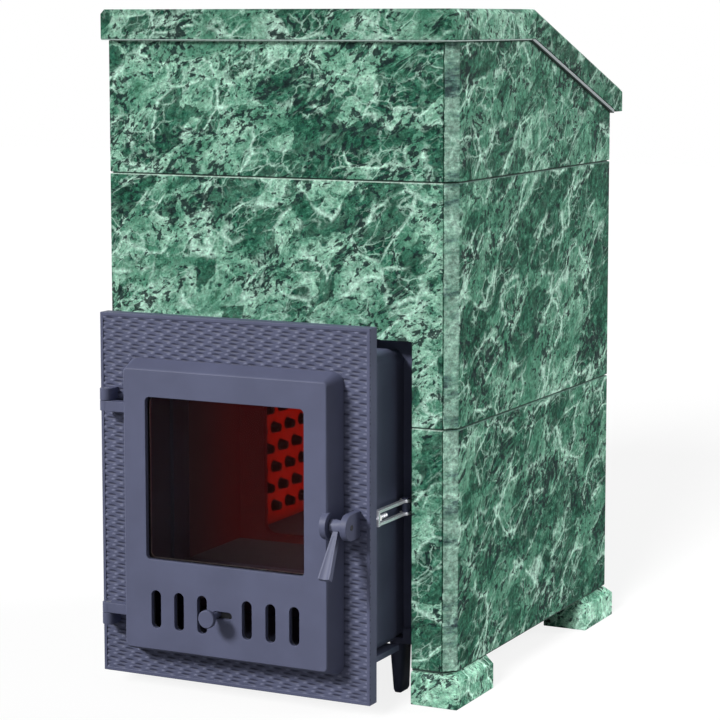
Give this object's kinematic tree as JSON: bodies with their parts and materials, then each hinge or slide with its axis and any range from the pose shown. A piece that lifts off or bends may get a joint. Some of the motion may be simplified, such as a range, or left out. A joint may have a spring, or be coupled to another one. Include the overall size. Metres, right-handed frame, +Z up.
{
  "type": "sauna stove",
  "caption": "Tall sauna stove clad in green stone slabs, with a glazed fire door on a cast tunnel, air slider, lever latch, ash drawer and a steam hatch in the sloping top.",
  "frame": {"origin": "on the floor under the middle of the stove's bounding box", "axes": "+X to the right seen from the fire door, +Y from the door to the back, +Z up"},
  "size_m": [0.668, 0.983, 1.1438],
  "materials": {
    "green_stone": "honed",
    "grey_paint": "satin heat-proof paint",
    "cast_iron": "raw casting",
    "hot_iron": "raw casting lit by the fire",
    "black_steel": "matt black",
    "steel": "plain",
    "glass": "clear ceramic",
    "rope": "knitted glass rope"
  },
  "bodies": {
    "stove": {"front_top": "green_stone", "front_middle": "green_stone", "front_low_left": "green_stone", "front_low_right": "green_stone", "left_top": "green_stone", "left_middle": "green_stone", "left_low": "green_stone", "right_top": "green_stone", "right_middle": "green_stone", "right_low": "green_stone", "back_top": "green_stone", "back_middle": "green_stone", "back_low": "green_stone", "cap_front": "green_stone", "cap_rear": "green_stone", "slope_upper": "green_stone", "slope_lower": "green_stone", "foot_front_left": "green_stone", "foot_front_right": "green_stone", "foot_rear_left": "green_stone", "foot_rear_right": "green_stone", "steel_frame": "steel", "slope_tray": "steel", "hatch_frame": "black_steel", "hatch_pin": "steel", "flue_socket": "black_steel", "firebox_front": "grey_paint", "firebox_shell": "cast_iron", "firebox_roof": "cast_iron", "firebox_base": "cast_iron", "leg_front_left": "cast_iron", "leg_front_right": "cast_iron", "leg_rear_left": "cast_iron", "leg_rear_right": "cast_iron", "hearth": "cast_iron", "inner_mouth": "cast_iron", "studs_left": "hot_iron", "studs_right": "hot_iron", "baffle": "cast_iron", "grate": "cast_iron", "heater_box": "black_steel", "tunnel": "grey_paint", "portal": "grey_paint", "yoke_left": "steel", "yoke_right": "steel", "tie_stud_left": "steel", "tie_stud_right": "steel", "hinge_pin_upper": "steel", "hinge_pin_lower": "steel", "keeper_pin": "steel"},
    "door": {"door": "grey_paint", "door_glass": "glass", "glass_ring": "steel", "door_rope": "rope", "latch_pin": "steel"},
    "handle": {"latch_handle": "grey_paint"},
    "air_slider": {"air_slider": "steel", "air_knob": "grey_paint"},
    "drawer": {"ash_drawer": "black_steel"},
    "hatch": {"hatch_lid": "black_steel"}
  },
  "joints": [
    {"name": "door_hinge", "type": "hinge", "parent": "stove", "child": "door", "pos_m": [-0.228, -0.42847, 0.321], "axis": [0, 0, -1], "range_deg": [0, 110]},
    {"name": "latch", "type": "hinge", "parent": "door", "child": "handle", "pos_m": [0.208, -0.44047, 0.33], "axis": [-1, 0, 0], "range_deg": [-20, 70]},
    {"name": "air_slide", "type": "slide", "parent": "door", "child": "air_slider", "axis": [1, 0, 0], "range_m": [0, 0.0217]},
    {"name": "drawer_slide", "type": "slide", "parent": "stove", "child": "drawer", "axis": [0, -1, 0], "range_m": [0, 0.2]},
    {"name": "hatch_hinge", "type": "hinge", "parent": "stove", "child": "hatch", "pos_m": [0, 0.12184, 1.1358], "axis": [1, 0, 0], "range_deg": [0, 100]}
  ]
}
